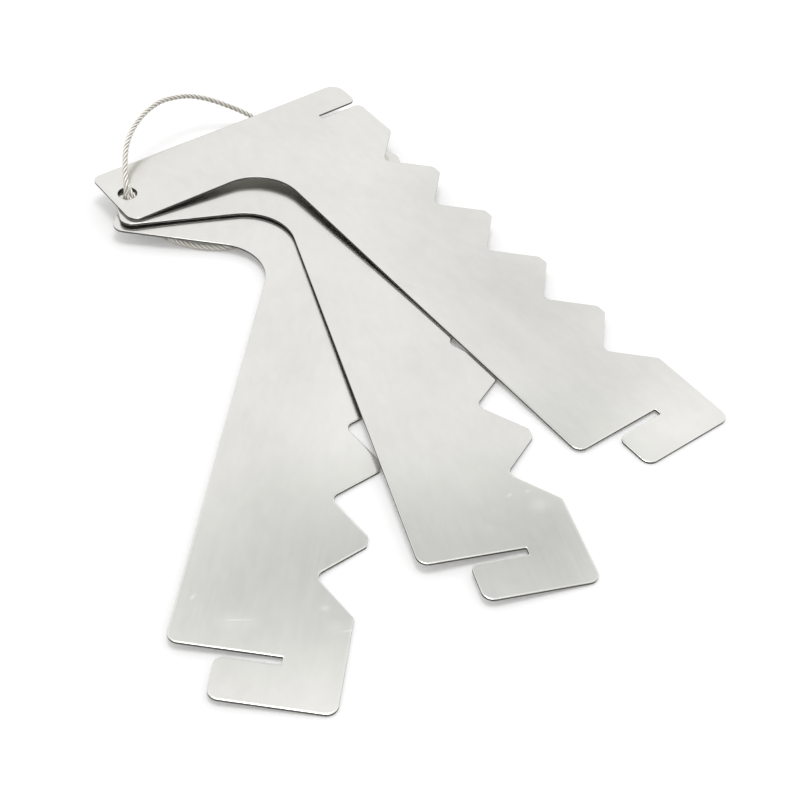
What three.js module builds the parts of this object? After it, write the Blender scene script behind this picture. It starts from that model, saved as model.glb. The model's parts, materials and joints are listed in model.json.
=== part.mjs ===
// A set of three identical flat plate gauges, fanned out on a wire rope ring.
// Millimetres, +Z up. The set lies on the plane z = 0; the ring passes through
// the hole at the left end of every plate's arm.
import * as THREE from 'three';

// ---- Plate, measured in its own plane from the centre of the ring hole ----
const PLATE_THICKNESS = 1;
const PLATE_WIDTH = 125.3;
const PLATE_HEIGHT = 250;
const ARM_HEIGHT = 33.4;
const HOLE_DIAMETER = 8;
const HOLE_EDGE_DISTANCE = 7.5;
const BLADE_WIDTH = 58;
const INNER_FILLET = 20;
const FOOT_RISE = 19;
const HOOK_WIDTH = 41.2;
const SLOT_WIDTH = 2.9;
const SLOT_STOP = 20;
const SLOT_END_RADIUS = 0.4;
const NOTCH_COUNT = 5;
const NOTCH_WIDTH = 30.5;
const NOTCH_PITCH = 35;
const NOTCH_START = 41.7;
const NOTCH_ROOT_RADIUS = 3;
const NOTCH_TIP_RADIUS = 1.5;
const HEAD_RADIUS = 6;
const FOOT_RADIUS = 4;
const ARM_END_RADIUS = 5;
const ARM_TIP_RADIUS = 3.5;
const LIP_RADIUS = 3;
const ARC_SEGMENTS = 8;

// ---- Ring: a wire rope whose ends lie side by side in a crimped sleeve ----
const ROPE_DIAMETER = 2.3;
const ROPE_SIDES = 8;
const ROPE_STEPS = 80;
const CLEARANCE = 0.25;
const SLEEVE_LENGTH = 10;
const SLEEVE_WALL = 0.5;

// ---- How the plates lie: each is fanned about its hole and leans on what is
// under it. The hole of the top plate is at x = 0, y = 0 of the set. ----
const BOTTOM_FAN = -5.06;
const MIDDLE_FAN = 17.81;
const TOP_FAN = 38.9;
const BOTTOM_HOLE = [4.31, -1.62];
const MIDDLE_HOLE = [2.41, -0.83];
const TOP_HOLE = [0, 0];
const GAP_SLEEVE_TO_BOTTOM = 1.06;
const GAP_BOTTOM_TO_MIDDLE = 2.48;
const GAP_MIDDLE_TO_TOP = 1.17;
const MIDDLE_FOOT_LIFT = 3.52;

// ---- Worked out from the sizes above ----
const topEdge = ARM_HEIGHT / 2;
const armUnderside = -ARM_HEIGHT / 2;
const leftEnd = -HOLE_EDGE_DISTANCE;
const rightEdge = PLATE_WIDTH - HOLE_EDGE_DISTANCE;
const bladeBack = rightEdge - BLADE_WIDTH;
const hookBottom = topEdge - PLATE_HEIGHT;
const footEdge = hookBottom + FOOT_RISE;
const hookTop = footEdge - SLOT_WIDTH;
const hookLeft = rightEdge - HOOK_WIDTH;
const slotStop = rightEdge - SLOT_STOP;
const sleeveHeight = ROPE_DIAMETER + 2 * CLEARANCE + 2 * SLEEVE_WALL;

const stainless = new THREE.MeshStandardMaterial({ color: '#c9cbc8', metalness: 1, roughness: 0.42 });
const ropeSteel = new THREE.MeshStandardMaterial({ color: '#cfc9b8', metalness: 0.8, roughness: 0.5 });
const sleeveMetal = new THREE.MeshStandardMaterial({ color: '#b9bbbd', metalness: 1, roughness: 0.4 });

// Adds a closed outline to a path from corners [x, y, radius], each radius
// being a round that meets the two straight sides at a tangent.
function roundedPath(path, corners) {
  const at = (index) => new THREE.Vector2(...corners[(index + corners.length) % corners.length]);
  corners.forEach(([x, y, radius], index) => {
    const corner = new THREE.Vector2(x, y);
    const arriving = corner.clone().sub(at(index - 1)).normalize();
    const leaving = at(index + 1).sub(corner).normalize();
    const turn = Math.atan2(arriving.cross(leaving), arriving.dot(leaving));
    const reach = radius * Math.tan(Math.abs(turn) / 2);
    const start = corner.clone().addScaledVector(arriving, -reach);
    const side = Math.sign(turn);
    const centre = start.clone().add(new THREE.Vector2(-arriving.y, arriving.x).multiplyScalar(side * radius));
    if (index === 0) path.moveTo(start.x, start.y);
    else path.lineTo(start.x, start.y);
    const from = start.sub(centre).angle();
    path.absarc(centre.x, centre.y, radius, from, from + turn, turn < 0);
  });
  path.closePath();
  return path;
}

// One 90 degree measuring notch in the right edge, from its lower tip up.
function notchCorners(index) {
  const upperTip = topEdge - NOTCH_START - index * NOTCH_PITCH;
  return [
    [rightEdge, upperTip - NOTCH_WIDTH, NOTCH_TIP_RADIUS],
    [rightEdge - NOTCH_WIDTH / 2, upperTip - NOTCH_WIDTH / 2, NOTCH_ROOT_RADIUS],
    [rightEdge, upperTip, NOTCH_TIP_RADIUS],
  ];
}

// The plate's outline, anticlockwise from the top left corner of the arm.
function plateShape() {
  const slotTop = SLOT_WIDTH / 2;
  const corners = [
    [leftEnd, topEdge, ARM_TIP_RADIUS],
    [leftEnd, armUnderside, ARM_END_RADIUS],
    [bladeBack, armUnderside, INNER_FILLET],
    [bladeBack, footEdge, FOOT_RADIUS],
    [slotStop, footEdge, SLOT_END_RADIUS],
    [slotStop, hookTop, SLOT_END_RADIUS],
    [hookLeft, hookTop, LIP_RADIUS],
    [hookLeft, hookBottom, FOOT_RADIUS],
    [rightEdge, hookBottom, FOOT_RADIUS],
  ];
  for (let index = NOTCH_COUNT - 1; index >= 0; index -= 1) corners.push(...notchCorners(index));
  corners.push(
    [rightEdge, -slotTop, LIP_RADIUS],
    [slotStop, -slotTop, SLOT_END_RADIUS],
    [slotStop, slotTop, SLOT_END_RADIUS],
    [rightEdge, slotTop, LIP_RADIUS],
    [rightEdge, topEdge, HEAD_RADIUS],
  );
  const shape = roundedPath(new THREE.Shape(), corners);
  shape.holes.push(new THREE.Path().absarc(0, 0, HOLE_DIAMETER / 2, 0, 2 * Math.PI, true));
  return shape;
}

function plateGeometry() {
  const options = { depth: PLATE_THICKNESS, bevelEnabled: false, curveSegments: ARC_SEGMENTS };
  return new THREE.ExtrudeGeometry(plateShape(), options).translate(0, 0, -PLATE_THICKNESS / 2);
}

// Places a plate by its fan angle, the place of its hole and the height of its
// middle plane over three points of its own outline: [x, y, height].
function placePlate(mesh, fanDegrees, hole, heights) {
  const [[, , atHole], [x1, y1, h1], [x2, y2, h2]] = heights;
  const determinant = x1 * y2 - x2 * y1;
  const slopeX = ((h1 - atHole) * y2 - (h2 - atHole) * y1) / determinant;
  const slopeY = ((h2 - atHole) * x1 - (h1 - atHole) * x2) / determinant;
  const up = new THREE.Vector3(0, 0, 1);
  const fan = new THREE.Quaternion().setFromAxisAngle(up, THREE.MathUtils.degToRad(fanDegrees));
  const normal = new THREE.Vector3(-slopeX, -slopeY, 1).normalize().applyQuaternion(fan);
  const lean = new THREE.Quaternion().setFromUnitVectors(up, normal);
  mesh.quaternion.copy(lean.multiply(fan));
  mesh.position.set(hole[0], hole[1], atHole);
  return mesh;
}

// The rope's centre line: from one cut end under the arm, through the sleeve, up
// the three holes, over the top plate's edge, under the set, back through the
// sleeve and up the holes beside itself to the other cut end.
const ropeRoute = [
  [37, -16.7, 1.3], [30, -15.8, 1.4], [24, -13.9, 1.6], [20.5, -12.4, 1.9], [16.4, -9.5, 1.9],
  [12.3, -6.6, 1.9], [8.4, -3.6, 2.5], [5.4, -1.6, 3.8], [3.3, -0.5, 5.6], [1, 0.3, 8.7],
  [-0.3, 0.8, 10.6], [-1.2, 1.8, 12.1], [-1.6, 3.9, 13.7], [-1.9, 7.4, 15.8], [-2.1, 11.9, 18.5],
  [-2.2, 17.2, 21.8], [-1.2, 23.7, 24.6], [1.2, 30.7, 26.5], [4.4, 38.2, 27], [8.6, 46.6, 26],
  [14.1, 54, 23.5], [19.3, 59.7, 20.5], [26.2, 64, 16.5], [33.7, 67.4, 11.5], [40.4, 68.8, 7.5],
  [46.5, 67.5, 4.8], [52, 61.5, 3], [56.5, 52.5, 1.9], [60, 36, 1.3], [60, 18, 1.3], [56, -5, 1.3],
  [46, -18, 1.3], [34, -19.4, 1.3], [22.2, -16.8, 1.6], [18.6, -15.2, 1.9], [14.5, -12.3, 1.9],
  [10.4, -9.5, 1.9], [7.5, -7, 2.3], [5.6, -4.7, 3.6], [4.4, -3.3, 5.6], [2.9, -2, 8.7],
  [1.4, -0.9, 11.5], [0.7, 0.3, 13.4], [0, 2, 15.4],
].map((point) => new THREE.Vector3(...point));
const REAR_STRAND_IN_SLEEVE = 4;
const FRONT_STRAND_IN_SLEEVE = 35;

function ropeGeometry() {
  const section = new THREE.Shape().absarc(0, 0, ROPE_DIAMETER / 2, 0, 2 * Math.PI, false);
  const extrudePath = new THREE.CatmullRomCurve3(ropeRoute, false, 'centripetal');
  const options = { extrudePath, steps: ROPE_STEPS, curveSegments: ROPE_SIDES / 2 };
  return new THREE.ExtrudeGeometry(section, options);
}

// The oval sleeve is pressed over both strands; each bore clears its strand and
// is centred on the strand's own point of the route.
function sleeveMesh() {
  const rear = ropeRoute[REAR_STRAND_IN_SLEEVE];
  const front = ropeRoute[FRONT_STRAND_IN_SLEEVE];
  const boreRadius = ROPE_DIAMETER / 2 + CLEARANCE;
  const outer = boreRadius + SLEEVE_WALL;
  const half = rear.distanceTo(front) / 2;
  const oval = new THREE.Shape();
  oval.absarc(half, 0, outer, -Math.PI / 2, Math.PI / 2, false);
  oval.absarc(-half, 0, outer, Math.PI / 2, (3 * Math.PI) / 2, false);
  oval.closePath();
  for (const x of [-half, half]) {
    oval.holes.push(new THREE.Path().absarc(x, 0, boreRadius, 0, 2 * Math.PI, true));
  }
  const options = { depth: SLEEVE_LENGTH, bevelEnabled: false, curveSegments: ARC_SEGMENTS };
  const geometry = new THREE.ExtrudeGeometry(oval, options).translate(0, 0, -SLEEVE_LENGTH / 2);
  const mesh = new THREE.Mesh(geometry, sleeveMetal);
  mesh.name = 'crimp_sleeve';
  const across = rear.clone().sub(front).normalize();
  const up = new THREE.Vector3(0, 0, 1);
  const along = new THREE.Vector3().crossVectors(across, up);
  mesh.quaternion.setFromRotationMatrix(new THREE.Matrix4().makeBasis(across, up, along));
  mesh.position.copy(rear).add(front).multiplyScalar(0.5);
  return mesh;
}

function namedMesh(name, geometry, material) {
  const mesh = new THREE.Mesh(geometry, material);
  mesh.name = name;
  return mesh;
}

const half = PLATE_THICKNESS / 2;
const bottomHeight = sleeveHeight + GAP_SLEEVE_TO_BOTTOM + half;
const middleHeight = bottomHeight + PLATE_THICKNESS + GAP_BOTTOM_TO_MIDDLE;
const topHeight = middleHeight + PLATE_THICKNESS + GAP_MIDDLE_TO_TOP;
const hookCorner = [rightEdge, hookBottom, half];
const bottomPlate = placePlate(
  namedMesh('plate_bottom', plateGeometry(), stainless), BOTTOM_FAN, BOTTOM_HOLE,
  [[0, 0, bottomHeight], hookCorner, [rightEdge, topEdge, half]],
);
const middlePlate = placePlate(
  namedMesh('plate_middle', plateGeometry(), stainless), MIDDLE_FAN, MIDDLE_HOLE,
  [[0, 0, middleHeight], hookCorner, [bladeBack, footEdge, half + MIDDLE_FOOT_LIFT]],
);
const topPlate = placePlate(
  namedMesh('plate_top', plateGeometry(), stainless), TOP_FAN, TOP_HOLE,
  [[0, 0, topHeight], hookCorner, [hookLeft, hookBottom, half]],
);

// The origin is under the middle of the three plates, on the plane they lie on.
const gaugeSet = new THREE.Group();
gaugeSet.add(bottomPlate, middlePlate, topPlate);
const middle = new THREE.Box3().setFromObject(gaugeSet, true).getCenter(new THREE.Vector3());
gaugeSet.add(namedMesh('wire_rope', ropeGeometry(), ropeSteel), sleeveMesh());
gaugeSet.position.set(-middle.x, -middle.y, 0);

export default gaugeSet;
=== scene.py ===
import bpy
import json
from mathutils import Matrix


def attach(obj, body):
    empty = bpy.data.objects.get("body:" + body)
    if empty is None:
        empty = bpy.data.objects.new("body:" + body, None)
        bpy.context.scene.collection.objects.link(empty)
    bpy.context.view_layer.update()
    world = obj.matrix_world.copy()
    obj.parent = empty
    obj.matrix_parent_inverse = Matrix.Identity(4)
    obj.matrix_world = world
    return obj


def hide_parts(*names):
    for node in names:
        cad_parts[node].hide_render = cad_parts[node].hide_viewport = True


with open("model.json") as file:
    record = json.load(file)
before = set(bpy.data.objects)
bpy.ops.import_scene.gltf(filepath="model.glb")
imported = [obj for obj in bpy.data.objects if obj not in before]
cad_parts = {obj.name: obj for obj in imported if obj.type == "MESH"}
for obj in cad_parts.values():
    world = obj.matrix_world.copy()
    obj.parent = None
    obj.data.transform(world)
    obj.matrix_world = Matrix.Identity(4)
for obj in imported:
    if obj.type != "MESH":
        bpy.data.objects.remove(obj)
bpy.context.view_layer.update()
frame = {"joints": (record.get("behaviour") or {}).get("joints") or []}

import json
import math

import bmesh
import bpy
from mathutils import Matrix, Vector
from mathutils.kdtree import KDTree

# ---- Camera ----
# The set lies on a table and is seen from the front, from a little over half
# a metre away and looking down at about 44 degrees.
CAMERA_LENS = 69.56
CAMERA_PLACE = (0.00546, -0.43431, 0.40065)
CAMERA_TILT = math.radians(45.663)
CAMERA_ROLL = math.radians(2.336)


def add_object(name, data):
    """Puts a camera, lamp, curve or mesh into the scene under the given name."""
    made = bpy.data.objects.new(name, data)
    bpy.context.scene.collection.objects.link(made)
    return made


camera_data = bpy.data.cameras.new("studio_camera")
camera_data.sensor_width = 36
camera_data.lens = CAMERA_LENS
camera = add_object("studio_camera", camera_data)
camera.matrix_world = (
    Matrix.Translation(CAMERA_PLACE)
    @ Matrix.Rotation(CAMERA_TILT, 4, "X")
    @ Matrix.Rotation(CAMERA_ROLL, 4, "Z")
)
bpy.context.scene.camera = camera
bpy.context.scene.view_settings.view_transform = "Standard"

# ---- Wire rope ring ----
# A stainless wire rope, 2.45 mm over its four right-handed strands, threaded
# through the three holes. Both its ends lie in a crimped sleeve under the arms,
# and the rest of the loop stands up in an arch and comes back under the plates.
MM = 0.001
ROPE_DIAMETER = 2.45 * MM
ROPE_STEP = 0.3 * MM

# Four strands that just touch, round a thinner core that fills the middle.
OUTER_STRANDS = 4
STRAND_RADIUS = 0.207 * ROPE_DIAMETER
STRAND_HELIX_RADIUS = ROPE_DIAMETER / 2 - STRAND_RADIUS
STRAND_LAY = 9.3 * MM
CORE_SHARE = 0.45

# The outer wires show as lobes on each strand: crests a little outside its
# radius, and grooves inside it.
WIRES_IN_STRAND = 6
WIRE_LAY = 7 * MM
WIRE_CREST = 1.03
WIRE_GROOVE = 0.92

# The ring's side that faces right, to the front and down is drawn darker, as painted shade.
SHADED_SIDE = (0.65, -0.45, -0.6)

fan_joints = {joint["name"]: joint for joint in frame["joints"]}
top_hole = Vector(fan_joints["top_plate_fan"]["pos_m"][:2] + [0])

# The rope's route in millimetres, from the middle of the top plate's hole and
# from the table.
rope_route = [
    top_hole + Vector(point) * MM
    for point in (
        (37, -16.7, 1.3), (30, -15.8, 1.4), (24, -13.9, 1.6), (20.5, -12.4, 1.9),
        (16.4, -9.5, 1.9), (12.3, -6.6, 1.9), (8.4, -3.6, 2.5), (6.3, -2, 4.3),
        (4.65, -0.85, 6.15), (3.05, 0.6, 8), (1.1, 1.9, 9.8), (0, 3.2, 11.1),
        (-1.3, 5.9, 12.5), (-2.2, 9.6, 14.1), (-2.8, 15, 16.2), (-3.2, 21.6, 18.6),
        (-2.4, 29.4, 20.6), (-0.2, 37.3, 22), (3, 45, 22.4), (7.5, 52.4, 22.1),
        (13.3, 58.5, 20.5), (18.7, 63.2, 18.2), (25.8, 66.3, 15), (33.6, 68.1, 11),
        (40.4, 68.8, 7.5), (46.5, 67.5, 4.8), (52, 61.5, 3), (56.5, 52.5, 1.9),
        (60, 36, 1.3), (60, 18, 1.3), (56, -5, 1.3), (46, -18.8, 1.3),
        (34, -20.5, 1.3), (22.6, -18, 1.6), (18.8, -15.8, 1.9), (14.5, -12.3, 1.9),
        (10.4, -9.5, 1.9), (7.5, -7, 2.3), (4.5, -4.3, 4.2), (2.85, -2.6, 6.15),
        (1.42, -1.25, 8), (-0.3, -0.15, 9.9), (-0.5, 0.8, 11.6), (-0.6, 1.7, 13.2),
    )
]


def smooth_line(points, step):
    """A centripetal Catmull-Rom curve through the points, cut into equal steps,
    and its length."""
    parts = 64
    padded = [2 * points[0] - points[1], *points, 2 * points[-1] - points[-2]]
    dense = []
    for a, b, c, d in zip(padded, padded[1:], padded[2:], padded[3:]):
        t0 = 0
        t1 = t0 + (b - a).length ** 0.5
        t2 = t1 + (c - b).length ** 0.5
        t3 = t2 + (d - c).length ** 0.5
        for part in range(parts):
            t = t1 + (t2 - t1) * part / parts
            ab = a.lerp(b, (t - t0) / (t1 - t0))
            bc = b.lerp(c, (t - t1) / (t2 - t1))
            cd = c.lerp(d, (t - t2) / (t3 - t2))
            abc = ab.lerp(bc, (t - t0) / (t2 - t0))
            bcd = bc.lerp(cd, (t - t1) / (t3 - t1))
            dense.append(abc.lerp(bcd, (t - t1) / (t2 - t1)))
    dense.append(points[-1])
    reach = [0]
    for before, after in zip(dense, dense[1:]):
        reach.append(reach[-1] + (after - before).length)
    count = round(reach[-1] / step)
    line, index = [], 0
    for number in range(count + 1):
        wanted = reach[-1] * number / count
        while index < len(dense) - 2 and reach[index + 1] < wanted:
            index += 1
        span = reach[index + 1] - reach[index]
        line.append(dense[index].lerp(dense[index + 1], (wanted - reach[index]) / span))
    return line, reach[-1]


def frames_along(line):
    """Each point of the line, with two sideways directions there that don't twist."""
    side = Vector((0, 0, 1))
    made = []
    for index, point in enumerate(line):
        ahead = line[min(index + 1, len(line) - 1)] - line[max(index - 1, 0)]
        ahead.normalize()
        side = (side - ahead * side.dot(ahead)).normalized()
        made.append((point, side.copy(), ahead.cross(side)))
    return made


def strand_profile(name, wires, radius):
    """The section of a strand: a round with a lobe for each outer wire."""
    data = bpy.data.curves.new(name, "CURVE")
    data.dimensions = "2D"
    spline = data.splines.new("POLY")
    spline.points.add(2 * wires - 1)
    for index, point in enumerate(spline.points):
        angle = math.pi * index / wires
        reach = radius * (WIRE_CREST if index % 2 == 0 else WIRE_GROOVE)
        point.co = (reach * math.cos(angle), reach * math.sin(angle), 0, 1)
    spline.use_cyclic_u = True
    return add_object(name, data)


def curve_piece(name, source, profile):
    """Turns a curve into a mesh piece, and removes the curve and its profile."""
    bpy.context.view_layer.update()
    graph = bpy.context.evaluated_depsgraph_get()
    mesh = bpy.data.meshes.new_from_object(source.evaluated_get(graph), depsgraph=graph)
    mesh.name = name
    for used in (source, profile):
        bpy.data.objects.remove(used)
    return add_object(name, mesh)


rope_line, rope_length = smooth_line(rope_route, ROPE_STEP)
rope_frames = frames_along(rope_line)
profile = strand_profile("strand_section", WIRES_IN_STRAND, STRAND_RADIUS)
rope_curve = bpy.data.curves.new("rope_strands", "CURVE")
rope_curve.dimensions = "3D"
rope_curve.twist_mode = "MINIMUM"
rope_curve.bevel_mode = "OBJECT"
rope_curve.bevel_object = profile
rope_curve.use_fill_caps = True
for strand in range(OUTER_STRANDS + 1):
    is_core = strand == OUTER_STRANDS
    helix_radius = 0 if is_core else STRAND_HELIX_RADIUS
    spline = rope_curve.splines.new("POLY")
    spline.points.add(len(rope_frames) - 1)
    for index, (point, side, across) in enumerate(rope_frames):
        run = index * ROPE_STEP
        turn = 2 * math.pi * (strand / OUTER_STRANDS + run / STRAND_LAY)
        place = point + helix_radius * (math.cos(turn) * side + math.sin(turn) * across)
        spline.points[index].co = (*place, 1)
        spline.points[index].tilt = -2 * math.pi * run / WIRE_LAY
        spline.points[index].radius = CORE_SHARE if is_core else 1
rope_object = add_object("rope_strands", rope_curve)
wire_rope = curve_piece("wire_rope_strands", rope_object, profile)
wire_rope.data.shade_smooth()

# "crown" is how far out each point of a strand lies: 1 on the outside of the
# rope, and under 0.7 deep in the grooves between two strands.
crown = wire_rope.data.attributes.new("crown", "FLOAT", "POINT")
nearest = KDTree(len(rope_line))
for index, point in enumerate(rope_line):
    nearest.insert(point, index)
nearest.balance()
for vert in wire_rope.data.vertices:
    point, index, _ = nearest.find(vert.co)
    _, side, across = rope_frames[index]
    off = vert.co - point
    off_centreline = math.hypot(off.dot(side), off.dot(across))
    crown.data[vert.index].value = off_centreline / (ROPE_DIAMETER / 2)


def linear(hex_colour):
    """An sRGB hex colour as the linear colour that shaders take."""
    channels = [int(hex_colour[start : start + 2], 16) / 255 for start in (1, 3, 5)]
    return (
        *(c / 12.92 if c <= 0.04045 else ((c + 0.055) / 1.055) ** 2.4 for c in channels),
        1,
    )


def add_node(tree, kind, inputs=None, stops=(), **settings):
    """Adds a node. inputs maps a socket to its value or to the output that feeds it,
    and stops are a colour ramp's two ends, each a position and a colour."""
    made = tree.nodes.new(kind)
    for setting, value in settings.items():
        setattr(made, setting, value)
    for socket, value in (inputs or {}).items():
        if isinstance(value, bpy.types.NodeSocket):
            tree.links.new(value, made.inputs[socket])
        else:
            made.inputs[socket].default_value = value
    for index, (position, colour) in enumerate(stops):
        made.color_ramp.elements[index].position = position
        made.color_ramp.elements[index].color = colour
    return made


def new_material(name):
    """An empty node material and its tree."""
    material = bpy.data.materials.new(name)
    material.use_nodes = True
    material.node_tree.nodes.clear()
    return material, material.node_tree


# Drawn stainless wire: pale warm crowns that the light catches, in patches about
# 3 mm apart, with painted shade in grey-brown deep in the grooves between the
# strands, and painted shade on the side that faces right, to the front and down.
rope_material, tree = new_material("drawn_stainless_wire")
place = add_node(tree, "ShaderNodeTexCoord").outputs["Object"]
patches = add_node(
    tree, "ShaderNodeTexNoise",
    {"Vector": place, "Scale": 0.3 / MM, "Detail": 3, "Roughness": 0.6},
)
wire_tone = add_node(
    tree, "ShaderNodeValToRGB", {"Fac": patches.outputs["Fac"]},
    stops=[(0.3, linear("#F6F3EA")), (0.6, linear("#FFFEFA"))],
)
crown_out = add_node(
    tree, "ShaderNodeAttribute", attribute_name="crown", attribute_type="GEOMETRY"
).outputs["Fac"]
# Painted shade in the grooves: the deeper a point lies between the strands, the more it is
# drawn grey-brown.
groove_shade = add_node(
    tree, "ShaderNodeValToRGB", {"Fac": crown_out},
    stops=[(0.68, (1, 1, 1, 1)), (0.88, (0, 0, 0, 1))],
)
tone = add_node(
    tree, "ShaderNodeMix",
    {"Factor": groove_shade.outputs["Color"], 6: wire_tone.outputs["Color"], 7: linear("#ABA393")},
    data_type="RGBA",
)
grain = add_node(
    tree, "ShaderNodeMapRange",
    {"Value": patches.outputs["Fac"], "To Min": 0.25, "To Max": 0.4},
)
# Painted shade: the rope is drawn duller and darker towards its side that faces right, to the
# front and down.
facing = add_node(
    tree, "ShaderNodeVectorMath",
    {0: add_node(tree, "ShaderNodeNewGeometry").outputs["Normal"], 1: SHADED_SIDE},
    operation="DOT_PRODUCT",
)
painted_side_shade = add_node(
    tree, "ShaderNodeMapRange",
    {"Value": facing.outputs["Value"], "From Min": -0.35, "From Max": 0.85, "To Max": 0.55},
    interpolation_type="SMOOTHSTEP",
)
tone = add_node(
    tree, "ShaderNodeMix",
    {"Factor": painted_side_shade.outputs["Result"], 6: tone.outputs[2], 7: linear("#B3AD9F")},
    data_type="RGBA",
)
shader = add_node(
    tree, "ShaderNodeBsdfPrincipled",
    {
        "Base Color": tone.outputs[2],
        "Metallic": 0.2,
        "Roughness": grain.outputs["Result"],
    },
)
add_node(tree, "ShaderNodeOutputMaterial", {"Surface": shader.outputs["BSDF"]})
wire_rope.data.materials.append(rope_material)
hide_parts("wire_rope")
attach(wire_rope, "ring_and_bottom_plate")

# ---- Crimped sleeve ----
# A short oval aluminium sleeve, 10 mm long, pressed over the two runs of rope
# under the arms. Three jaw marks are squeezed into it, and its ends a little, and
# each squeeze spreads it sideways.
SLEEVE_LENGTH = 10 * MM
SLEEVE_OUTER_RADIUS = 1.9 * MM
SLEEVE_WALL = 0.5 * MM
SLEEVE_SPREAD = 0.3
MOUTH_TAPER = 0.1 * MM
MOUTH_DEPTH = 1.2 * MM

# Along the sleeve: the share of its length, and how high it is left there.
SLEEVE_STATIONS = [
    (0, 0.93), (0.025, 1), (0.14, 1), (0.19, 0.9), (0.27, 0.9), (0.32, 1), (0.41, 1),
    (0.46, 0.88), (0.54, 0.88), (0.59, 1), (0.68, 1), (0.73, 0.9), (0.81, 0.9),
    (0.86, 1), (0.975, 1), (1, 0.93),
]


def bmesh_piece(name, bm):
    """Turns a bmesh into a mesh piece of the given name."""
    mesh = bpy.data.meshes.new(name)
    bm.to_mesh(mesh)
    bm.free()
    return add_object(name, mesh)


# The two points of the rope's route that lie side by side in the sleeve.
REAR_POINT_IN_SLEEVE = 4
FRONT_POINT_IN_SLEEVE = 35
rear_run = rope_route[REAR_POINT_IN_SLEEVE]
front_run = rope_route[FRONT_POINT_IN_SLEEVE]
across = (rear_run - front_run).normalized()
upward = Vector((0, 0, 1))
along = across.cross(upward)
half_gap = (rear_run - front_run).length / 2
middle = (rear_run + front_run) / 2

bm = bmesh.new()
ring = bmesh.ops.create_circle(bm, segments=40, radius=SLEEVE_OUTER_RADIUS)["verts"]
for vert in ring:
    on_middle_line = abs(vert.co.x) < 1e-9
    vert.co.x += 0 if on_middle_line else math.copysign(half_gap, vert.co.x)
section = [vert.co.copy() for vert in ring]
edges = bm.edges[:]
for share, squeeze in SLEEVE_STATIONS:
    if share > 0:
        grown = bmesh.ops.extrude_edge_only(bm, edges=edges)["geom"]
        edges = [item for item in grown if isinstance(item, bmesh.types.BMEdge)]
        ring = [item for item in grown if isinstance(item, bmesh.types.BMVert)]
    spread = 1 + (1 - squeeze) * SLEEVE_SPREAD
    for vert, home in zip(ring, section):
        vert.co = (home.x * spread, home.y * squeeze, share * SLEEVE_LENGTH)
rims = [edge for edge in bm.edges if edge.is_boundary]
for rim in (
    [edge for edge in rims if edge.verts[0].co.z < SLEEVE_LENGTH / 2],
    [edge for edge in rims if edge.verts[0].co.z > SLEEVE_LENGTH / 2],
):
    mouth = bmesh.ops.contextual_create(bm, geom=rim)["faces"]
    bmesh.ops.recalc_face_normals(bm, faces=bm.faces)
    bmesh.ops.inset_region(bm, faces=mouth, thickness=SLEEVE_WALL, depth=0)
    bmesh.ops.inset_region(bm, faces=mouth, thickness=MOUTH_TAPER, depth=-MOUTH_DEPTH)
bmesh.ops.recalc_face_normals(bm, faces=bm.faces)
bmesh.ops.transform(
    bm,
    matrix=Matrix.Translation(middle - along * SLEEVE_LENGTH / 2)
    @ Matrix((across, upward, along)).transposed().to_4x4(),
    verts=bm.verts,
)
pressed_sleeve = bmesh_piece("pressed_sleeve", bm)
pressed_sleeve.data.shade_smooth()

# Drawn aluminium: soft grey sheen, with fine dents about 1 mm apart from the
# pressing jaws.
sleeve_material, tree = new_material("pressed_aluminium")
place = add_node(tree, "ShaderNodeTexCoord").outputs["Object"]
dents = add_node(
    tree, "ShaderNodeTexNoise", {"Vector": place, "Scale": 0.9 / MM, "Detail": 3}
)
tone = add_node(
    tree, "ShaderNodeValToRGB", {"Fac": dents.outputs["Fac"]},
    stops=[(0.3, linear("#A9ABAD")), (0.7, linear("#C8CACC"))],
)
relief = add_node(
    tree, "ShaderNodeBump",
    {"Height": dents.outputs["Fac"], "Strength": 0.4, "Distance": 0.05 * MM},
)
shader = add_node(
    tree, "ShaderNodeBsdfPrincipled",
    {
        "Base Color": tone.outputs["Color"],
        "Metallic": 1,
        "Roughness": 0.42,
        "Normal": relief.outputs["Normal"],
    },
)
add_node(tree, "ShaderNodeOutputMaterial", {"Surface": shader.outputs["BSDF"]})
pressed_sleeve.data.materials.append(sleeve_material)
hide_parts("crimp_sleeve")
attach(pressed_sleeve, "ring_and_bottom_plate")

# ---- The three plates ----
# Three identical gauges cut from 1 mm satin stainless sheet. Each has an arm with
# the ring's hole, five square notches, a slot in its front edge and a hooked foot;
# the cut edges are deburred to a small round. All their sizes are in millimetres.
PLATE_THICKNESS = 1
PLATE_WIDTH = 125.3
PLATE_HEIGHT = 250
ARM_HEIGHT = 33.4
HOLE_DIAMETER = 8
HOLE_EDGE_DISTANCE = 7.5
BLADE_WIDTH = 58
INNER_FILLET = 20
FOOT_RISE = 19
HOOK_WIDTH = 41.2
SLOT_WIDTH = 2.9
SLOT_STOP = 20
SLOT_END_RADIUS = 0.4
NOTCH_COUNT = 5
NOTCH_WIDTH = 30.5
NOTCH_PITCH = 35
NOTCH_START = 41.7
NOTCH_ROOT_RADIUS = 3
NOTCH_TIP_RADIUS = 1.5
HEAD_RADIUS = 6
FOOT_RADIUS = 4
ARM_END_RADIUS = 5
ARM_TIP_RADIUS = 3.5
LIP_RADIUS = 3
DEBURR_WIDTH = 0.65
DEBURR_DEPTH = 0.13
UNDERSIDE_ROUND = 0.12
DEBURR_STEPS = 3
SATIN_SLOT = 0
CUT_EDGE_SLOT = 1

# So that it can bow, the sheet gets lines of vertices 7 mm apart: upright ones
# from beside the hole to the right edge, and level ones from over it to the foot.
BOW_STEP = 7
FIRST_LINE_X = -4
FIRST_LINE_Y = 10

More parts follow.
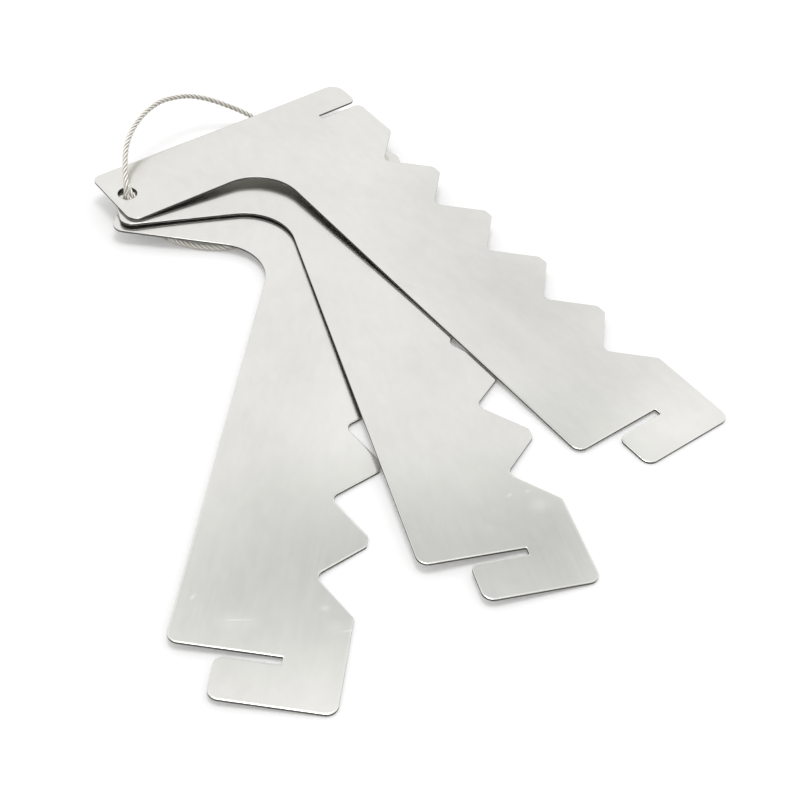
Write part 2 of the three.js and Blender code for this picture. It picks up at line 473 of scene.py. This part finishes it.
top_edge = ARM_HEIGHT / 2
arm_underside = -ARM_HEIGHT / 2
left_end = -HOLE_EDGE_DISTANCE
right_edge = PLATE_WIDTH - HOLE_EDGE_DISTANCE
blade_back = right_edge - BLADE_WIDTH
hook_bottom = top_edge - PLATE_HEIGHT
foot_edge = hook_bottom + FOOT_RISE
hook_top = foot_edge - SLOT_WIDTH
hook_left = right_edge - HOOK_WIDTH
slot_stop = right_edge - SLOT_STOP


def plate_corners():
    """The plate's corners [x, y, radius] in its own plane, from the middle of the hole."""
    corners = [
        (left_end, top_edge, ARM_TIP_RADIUS),
        (left_end, arm_underside, ARM_END_RADIUS),
        (blade_back, arm_underside, INNER_FILLET),
        (blade_back, foot_edge, FOOT_RADIUS),
        (slot_stop, foot_edge, SLOT_END_RADIUS),
        (slot_stop, hook_top, SLOT_END_RADIUS),
        (hook_left, hook_top, LIP_RADIUS),
        (hook_left, hook_bottom, FOOT_RADIUS),
        (right_edge, hook_bottom, FOOT_RADIUS),
    ]
    for index in reversed(range(NOTCH_COUNT)):
        upper_tip = top_edge - NOTCH_START - index * NOTCH_PITCH
        corners += [
            (right_edge, upper_tip - NOTCH_WIDTH, NOTCH_TIP_RADIUS),
            (right_edge - NOTCH_WIDTH / 2, upper_tip - NOTCH_WIDTH / 2, NOTCH_ROOT_RADIUS),
            (right_edge, upper_tip, NOTCH_TIP_RADIUS),
        ]
    corners += [
        (right_edge, -SLOT_WIDTH / 2, LIP_RADIUS),
        (slot_stop, -SLOT_WIDTH / 2, SLOT_END_RADIUS),
        (slot_stop, SLOT_WIDTH / 2, SLOT_END_RADIUS),
        (right_edge, SLOT_WIDTH / 2, LIP_RADIUS),
        (right_edge, top_edge, HEAD_RADIUS),
    ]
    return corners


def round_corner(bm, vert, radius):
    """Rounds one corner of a flat face to a radius."""
    arriving, leaving = (edge.other_vert(vert).co - vert.co for edge in vert.link_edges)
    turn = math.pi - arriving.angle(leaving)
    bmesh.ops.bevel(
        bm,
        geom=[vert],
        affect="VERTICES",
        offset=radius * math.tan(turn / 2),
        offset_type="OFFSET",
        segments=2 * round(3 + radius * 0.5),
        profile=0.5,
        material=-1,
        clamp_overlap=False,
    )


def slice_sheet(bm, point, normal):
    """Adds a line of vertices across the sheet, so that it can bow."""
    bmesh.ops.bisect_plane(
        bm,
        geom=bm.verts[:] + bm.edges[:] + bm.faces[:],
        dist=0.001,
        plane_co=point,
        plane_no=normal,
    )


def cut_plate():
    """The plate in millimetres in its own plane, with deburred edges."""
    bm = bmesh.new()
    corners = plate_corners()
    sharp = [bm.verts.new((x, y, 0)) for x, y, _ in corners]
    bm.faces.new(sharp)
    for vert, (_, _, radius) in zip(sharp, corners):
        round_corner(bm, vert, radius)
    bmesh.ops.create_circle(bm, segments=64, radius=HOLE_DIAMETER / 2)
    bmesh.ops.delete(bm, geom=bm.faces[:], context="FACES_ONLY")
    bmesh.ops.triangle_fill(bm, use_beauty=True, edges=bm.edges[:], normal=(0, 0, 1))
    wall = PLATE_THICKNESS - DEBURR_DEPTH - UNDERSIDE_ROUND
    floor = -PLATE_THICKNESS / 2 + UNDERSIDE_ROUND
    bmesh.ops.translate(bm, vec=(0, 0, floor), verts=bm.verts)
    under = bm.faces[:]
    grown = bmesh.ops.extrude_face_region(bm, geom=under)["geom"]
    lifted = [item for item in grown if isinstance(item, bmesh.types.BMVert)]
    upper = [item for item in grown if isinstance(item, bmesh.types.BMFace)]
    bmesh.ops.translate(bm, vec=(0, 0, wall), verts=lifted)
    bmesh.ops.recalc_face_normals(bm, faces=bm.faces)
    for face in bm.faces:
        face.smooth = True
        face.material_index = CUT_EDGE_SLOT
    for cap, width, depth in (
        (upper, DEBURR_WIDTH, DEBURR_DEPTH),
        (under, UNDERSIDE_ROUND, UNDERSIDE_ROUND),
    ):
        for step in range(DEBURR_STEPS):
            before = math.pi / 2 * step / DEBURR_STEPS
            after = math.pi / 2 * (step + 1) / DEBURR_STEPS
            rim = bmesh.ops.inset_region(
                bm,
                faces=cap,
                thickness=width * (math.cos(before) - math.cos(after)),
                depth=depth * (math.sin(after) - math.sin(before)),
                use_boundary=True,
                use_even_offset=True,
            )["faces"]
            for face in rim:
                face.material_index = SATIN_SLOT
        for face in cap:
            face.material_index = SATIN_SLOT
    for x in range(FIRST_LINE_X, math.ceil(right_edge), BOW_STEP):
        slice_sheet(bm, (x, 0, 0), (1, 0, 0))
    for y in range(FIRST_LINE_Y, math.floor(foot_edge), -BOW_STEP):
        slice_sheet(bm, (0, y, 0), (0, 1, 0))
    # Only where a flat face ends does the shading break.
    bm.normal_update()
    for edge in bm.edges:
        flat = [abs(face.normal.z) > 0.9999 for face in edge.link_faces]
        edge.smooth = all(flat) or not any(flat)
    return bm


def laid_plate(fan_degrees, hole, at_hole, contacts):
    """The matrix that fans a plate about its hole and leans it over three points:
    its height at the hole, and two contacts, each its place and its height there."""
    (x1, y1, h1), (x2, y2, h2) = contacts
    determinant = x1 * y2 - x2 * y1
    slope_x = ((h1 - at_hole) * y2 - (h2 - at_hole) * y1) / determinant
    slope_y = ((h2 - at_hole) * x1 - (h1 - at_hole) * x2) / determinant
    up = Vector((0, 0, 1))
    fan = Matrix.Rotation(math.radians(fan_degrees), 3, "Z")
    normal = fan @ Vector((-slope_x, -slope_y, 1)).normalized()
    lean = up.rotation_difference(normal).to_matrix()
    return (
        Matrix.Translation((hole.x, hole.y, at_hole * MM))
        @ (lean @ fan).to_4x4()
        @ Matrix.Scale(MM, 4)
    )


# The laser-cut face of the edge: darker and rougher than the sheet, with fine
# upright striations 0.4 mm apart.
edge_material, tree = new_material("laser_cut_stainless_edge")
place = add_node(tree, "ShaderNodeTexCoord").outputs["Object"]
stripes = add_node(
    tree, "ShaderNodeTexNoise",
    {
        "Vector": add_node(
            tree, "ShaderNodeMapping", {"Vector": place, "Scale": (1, 1, 0.1)}
        ).outputs["Vector"],
        "Scale": 2.5 / MM,
        "Detail": 2,
    },
)
tone = add_node(
    tree, "ShaderNodeValToRGB", {"Fac": stripes.outputs["Fac"]},
    stops=[(0.3, linear("#4C4C48")), (0.7, linear("#6A6A65"))],
)
shader = add_node(
    tree, "ShaderNodeBsdfPrincipled",
    {"Base Color": tone.outputs["Color"], "Metallic": 1, "Roughness": 0.5},
)
add_node(tree, "ShaderNodeOutputMaterial", {"Surface": shader.outputs["BSDF"]})


def marked_sheen(tree, place, sheen, mark):
    """The sheen with one oval mark on it, strongest in its middle."""
    x, y, half_length, half_width, degrees, change = mark
    through_sheet = 10 * PLATE_THICKNESS
    spot = add_node(
        tree, "ShaderNodeMapping",
        {
            "Vector": place,
            "Location": (x, y, 0),
            "Rotation": (0, 0, math.radians(degrees)),
            "Scale": (half_length, half_width, through_sheet),
        },
        vector_type="TEXTURE",
    ).outputs["Vector"]
    near = add_node(
        tree, "ShaderNodeTexGradient", {"Vector": spot}, gradient_type="SPHERICAL"
    ).outputs["Fac"]
    amount = add_node(
        tree, "ShaderNodeMapRange", {"Value": near, "To Max": change},
        interpolation_type="SMOOTHSTEP",
    ).outputs["Result"]
    return add_node(
        tree, "ShaderNodeMath", {0: sheen, 1: amount}, operation="ADD"
    ).outputs["Value"]


def satin_stainless(name, placing, seed, marks):
    """Satin-rolled stainless sheet: pale, slightly warm, with faint lengthwise
    brushing 0.7 mm apart, a mottle 6 mm apart, wide faint clouds, and marks where
    its sheen is off: smudges and scratches, painted glints, and broad patches of
    painted sheen, lighter or darker. The patterns lie in the gauge's own
    millimetres, and the seed moves them, so that no two gauges are alike."""
    material, tree = new_material(name)
    unplaced, unturned, unscaled = placing.inverted().decompose()
    place = add_node(
        tree, "ShaderNodeMapping",
        {
            "Vector": add_node(tree, "ShaderNodeTexCoord").outputs["Object"],
            "Location": unplaced,
            "Rotation": unturned.to_euler(),
            "Scale": unscaled,
        },
    ).outputs["Vector"]
    moved = add_node(
        tree, "ShaderNodeMapping", {"Vector": place, "Location": (seed * 10, 0, 0)}
    ).outputs["Vector"]
    brushing = add_node(
        tree, "ShaderNodeTexNoise",
        {
            "Vector": add_node(
                tree, "ShaderNodeMapping", {"Vector": moved, "Scale": (1, 0.03, 1)}
            ).outputs["Vector"],
            "Scale": 1.4,
            "Detail": 4,
            "Roughness": 0.6,
        },
    ).outputs["Fac"]
    mottle = add_node(
        tree, "ShaderNodeTexNoise",
        {
            "Vector": add_node(
                tree, "ShaderNodeMapping", {"Vector": moved, "Scale": (1, 0.5, 1)}
            ).outputs["Vector"],
            "Scale": 0.16,
            "Detail": 4,
            "Roughness": 0.75,
        },
    ).outputs["Fac"]
    clouds = add_node(
        tree, "ShaderNodeTexNoise",
        {"Vector": moved, "Scale": 0.022, "Detail": 2, "Roughness": 0.4},
    ).outputs["Fac"]
    tone = add_node(
        tree, "ShaderNodeValToRGB", {"Fac": clouds},
        stops=[(0.3, linear("#DEDDD9")), (0.7, linear("#E4E3DF"))],
    ).outputs["Color"]
    sheen = add_node(
        tree, "ShaderNodeMapRange",
        {"Value": mottle, "From Min": 0.25, "From Max": 0.75, "To Min": 0.965, "To Max": 1.03},
    ).outputs["Result"]
    for mark in marks:
        sheen = marked_sheen(tree, place, sheen, mark)
    toned = add_node(
        tree, "ShaderNodeVectorMath", {0: tone, "Scale": sheen}, operation="SCALE"
    ).outputs["Vector"]
    rough = add_node(
        tree, "ShaderNodeMapRange", {"Value": brushing, "To Min": 0.17, "To Max": 0.25}
    ).outputs["Result"]
    relief = add_node(
        tree, "ShaderNodeBump",
        {"Height": brushing, "Strength": 0.25, "Distance": 0.004 * MM},
    ).outputs["Normal"]
    shader = add_node(
        tree, "ShaderNodeBsdfPrincipled",
        {"Base Color": toned, "Metallic": 1, "Roughness": rough, "Normal": relief},
    )
    add_node(tree, "ShaderNodeOutputMaterial", {"Surface": shader.outputs["BSDF"]})
    return material


# Smudges, scratches, painted glints and broad soft patches of painted sheen on
# each gauge: where [mm, in the gauge's own plane], half length and half width, how
# each is turned [degrees], and how much lighter or duller it is.
marks_and_painted_sheen = {
    # Bottom: a smudge crossed by a scratch, painted glints, a small scratch, and a broad
    # painted patch of light sheen down the blade.
    "bottom": [
        (80, -203.4, 10, 6, 8, 0.06), (81.4, -202.4, 7, 0.5, 9.5, 0.14),
        (65, -195.8, 2.2, 1, 60, 0.12), (107.8, -193, 2.6, 2, 20, 0.12),
        (113, -200, 6, 5, 0, 0.06), (117, -200.5, 4, 0.5, 25, 0.14),
        (40, -6, 9, 1, 12, -0.03), (106, -115, 34, 120, 0, 0.08),
    ],
    # Middle: a broad painted patch of shade over the hook, a smudge, painted glints, and a
    # faint lighter streak.
    "middle": [
        (110, -210, 34, 44, 0, -0.1), (108.7, -196.9, 6, 5, 0, 0.09),
        (100, -190.3, 2, 1, 40, 0.14), (106.8, -189.8, 1.6, 1, 0, 0.12),
        (88, -204, 14, 5, -30, 0.03),
    ],
    # Top: a broad painted patch of shade over the notched blade, a lighter streak, a broad
    # painted patch of light over the hook, and faint blotches.
    "top": [
        (100, -128, 50, 108, 0, -0.115), (85, -154, 9, 46, 0, 0.04),
        (88, -224, 50, 30, 0, 0.15), (73, -45, 8, 7, 0, -0.02),
        (81.5, -93, 9, 7, 0, -0.015),
        (60, 3, 12, 0.5, 35, 0.03), (11, 9.5, 9, 4, 40, -0.025),
    ],
}

# The ring draws the three arms together, and the upper two sag on the gauge
# below: each is bent by a millimetre or two, and by nothing at its notched edge.
# A point that is lifted also slides over the table, by BEND_SLIDE for each
# millimetre of lift and by BEND_TURN more for each millimetre from the hole.
BEND_SLIDE = Vector((0.3, -1.32, 0))
BEND_TURN = Vector((-0.0016, 0.0021, 0))


def lift_at(distance, bends):
    """How far the sheet is lifted at a distance from its hole, eased between the
    bends, each a distance and the lift there."""
    for (near, lift), (far, next_lift) in zip(bends, bends[1:]):
        if distance <= far:
            share = max((distance - near) / (far - near), 0)
            return lift + (next_lift - lift) * share**2 * (3 - 2 * share)
    return 0


# Each gauge: the body it rides on, its hole from the top gauge's hole, how it is
# fanned [degrees], its height over the table at the hole, its two contacts, and
# its bends. Where it touches the table, its middle is half its thickness up.
on_table = PLATE_THICKNESS / 2
hook_corner = (right_edge, hook_bottom, on_table)
for level, body, hole_offset, fan, at_hole, contacts, bends in (
    (
        "bottom", "ring_and_bottom_plate", (4.31, -1.62), -5.06, 5.36,
        [hook_corner, (right_edge, top_edge, on_table)],
        [(5, 0.8), (70, 0)],
    ),
    (
        "middle", "middle_plate", (2.41, -0.83), 17.81, 8.84,
        [hook_corner, (blade_back, foot_edge, 4.02)],
        [(5, -0.8), (90, -0.6), (230, 0)],
    ),
    (
        "top", "top_plate", (0, 0), 38.9, 11.01,
        [hook_corner, (hook_left, hook_bottom, on_table)],
        [(5, -1.1), (120, -1.85), (250, 0)],
    ),
):
    hole = top_hole + Vector((*hole_offset, 0)) * MM
    placing = laid_plate(fan, hole, at_hole, contacts)
    bm = cut_plate()
    for vert in bm.verts:
        inward = min(max((right_edge - vert.co.x) / BLADE_WIDTH, 0), 1)
        vert.co = placing @ vert.co
        off_hole = (vert.co - hole).xy.length / MM
        lifting = Vector((0, 0, 1)) + BEND_SLIDE + BEND_TURN * off_hole
        vert.co += lifting * (lift_at(off_hole, bends) * inward * MM)
    gauge = bmesh_piece(f"gauge_{level}", bm)
    gauge.data.materials.append(
        satin_stainless(f"satin_stainless_{level}", placing, fan, marks_and_painted_sheen[level])
    )
    gauge.data.materials.append(edge_material)
    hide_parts(f"plate_{level}")
    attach(gauge, body)

# ---- Table, backdrop and light ----
# A white table top that runs on as the backdrop, in a soft white tent. It is
# white where nothing shades it, and lies a hair under the set.
TABLE_HALF_WIDTH = 3
TABLE_DROP = 0.05 * MM
TABLE_GLOW = 0.12

bm = bmesh.new()
bmesh.ops.create_grid(bm, x_segments=1, y_segments=1, size=TABLE_HALF_WIDTH)
bmesh.ops.translate(bm, vec=(0, 0, -TABLE_DROP), verts=bm.verts)
table_top = bmesh_piece("table_top", bm)

# Matt white paint. It glows a little to the eye and in the metal, so that it
# looks as white as the backdrop, and lights nothing.
table_material, tree = new_material("matt_white_paint")
paint = add_node(tree, "ShaderNodeBsdfDiffuse", {"Color": linear("#F4F4F4")})
rays = add_node(tree, "ShaderNodeLightPath").outputs
seen = add_node(
    tree, "ShaderNodeMath", {0: rays["Is Camera Ray"], 1: rays["Is Glossy Ray"]},
    operation="MAXIMUM",
)
shine = add_node(
    tree, "ShaderNodeMath", {0: seen.outputs[0], 1: TABLE_GLOW}, operation="MULTIPLY"
)
glow = add_node(tree, "ShaderNodeEmission", {"Strength": shine.outputs[0]})
both = add_node(
    tree, "ShaderNodeAddShader", {0: paint.outputs["BSDF"], 1: glow.outputs["Emission"]}
)
add_node(tree, "ShaderNodeOutputMaterial", {"Surface": both.outputs["Shader"]})
table_top.data.materials.append(table_material)

# The tent: brighter behind than in front and overhead than near the table, and
# plain white to the eye.
world = bpy.data.worlds.new("studio_tent")
bpy.context.scene.world = world
world.use_nodes = True
tree = world.node_tree
tree.nodes.clear()
direction = add_node(tree, "ShaderNodeTexCoord").outputs["Generated"]
toward = add_node(tree, "ShaderNodeSeparateXYZ", {"Vector": direction}).outputs
from_behind = add_node(
    tree, "ShaderNodeMapRange",
    {"Value": toward["Y"], "From Min": -0.4, "From Max": 0.4, "To Min": 0.64, "To Max": 1.045},
    interpolation_type="SMOOTHSTEP",
)
above_table = add_node(
    tree, "ShaderNodeMapRange",
    {"Value": toward["Z"], "From Min": 0, "From Max": 0.45, "To Min": 0.55, "To Max": 1},
    interpolation_type="SMOOTHSTEP",
)
tent = add_node(
    tree, "ShaderNodeMath",
    {0: from_behind.outputs["Result"], 1: above_table.outputs["Result"]},
    operation="MULTIPLY",
)
rays = add_node(tree, "ShaderNodeLightPath").outputs
shown = add_node(
    tree, "ShaderNodeMix",
    {"Factor": rays["Is Camera Ray"], 2: tent.outputs[0], 3: 1},
    data_type="FLOAT",
)
background = add_node(
    tree, "ShaderNodeBackground", {"Color": (1, 1, 1, 1), "Strength": shown.outputs[0]}
)
add_node(tree, "ShaderNodeOutputWorld", {"Surface": background.outputs["Background"]})

# A soft lamp overhead and a little behind gives the short shadows towards the
# front and the bright line along each deburred edge.
OVERHEAD_SIZE = 0.5
OVERHEAD_PLACE = Vector((0, 0.1, 1.4))
OVERHEAD_POWER = 5

lamp_data = bpy.data.lights.new("overhead_softbox", "AREA")
lamp_data.shape = "SQUARE"
lamp_data.size = OVERHEAD_SIZE
lamp_data.energy = OVERHEAD_POWER
lamp = add_object("overhead_softbox", lamp_data)
lamp.matrix_world = (
    Matrix.Translation(OVERHEAD_PLACE)
    @ (-OVERHEAD_PLACE).to_track_quat("-Z", "Y").to_matrix().to_4x4()
)

# A grey card hangs behind the set, above it; the satin metal shows it as the
# darker band across the blades. The oval that shows of it has a soft edge.
CARD_PLACE = (0.035, 0.192, 0.355)
CARD_TURN = math.radians(20)
CARD_HALF_SIZE = (0.2, 0.08, 1)
CARD_OVAL = (0.188, 0.072, 1)

bm = bmesh.new()
bmesh.ops.create_grid(bm, x_segments=1, y_segments=1, size=1)
bmesh.ops.scale(bm, vec=CARD_HALF_SIZE, verts=bm.verts)
bmesh.ops.rotate(bm, matrix=Matrix.Rotation(CARD_TURN, 3, "Z"), verts=bm.verts)
bmesh.ops.translate(bm, vec=CARD_PLACE, verts=bm.verts)
card = bmesh_piece("grey_card", bm)
card.visible_camera = False
card.visible_diffuse = False
card.visible_shadow = False

# Felt on the card: an even grey in the metal, fading out towards the oval's edge.
card_material, tree = new_material("grey_card_felt")
place = add_node(tree, "ShaderNodeTexCoord").outputs["Object"]
centred = add_node(
    tree, "ShaderNodeMapping",
    {
        "Vector": place,
        "Location": CARD_PLACE,
        "Rotation": (0, 0, CARD_TURN),
        "Scale": CARD_OVAL,
    },
    vector_type="TEXTURE",
)
round_fade = add_node(
    tree, "ShaderNodeTexGradient", {"Vector": centred.outputs["Vector"]},
    gradient_type="SPHERICAL",
)
cover = add_node(
    tree, "ShaderNodeValToRGB", {"Fac": round_fade.outputs["Fac"]},
    stops=[(0, (0, 0, 0, 1)), (0.3, (1, 1, 1, 1))],
)
grey = add_node(tree, "ShaderNodeEmission", {"Color": linear("#D1D4D2"), "Strength": 1})
clear = add_node(tree, "ShaderNodeBsdfTransparent")
felt = add_node(
    tree, "ShaderNodeMixShader",
    {0: cover.outputs["Color"], 1: clear.outputs["BSDF"], 2: grey.outputs["Emission"]},
)
add_node(tree, "ShaderNodeOutputMaterial", {"Surface": felt.outputs["Shader"]})
card.data.materials.append(card_material)
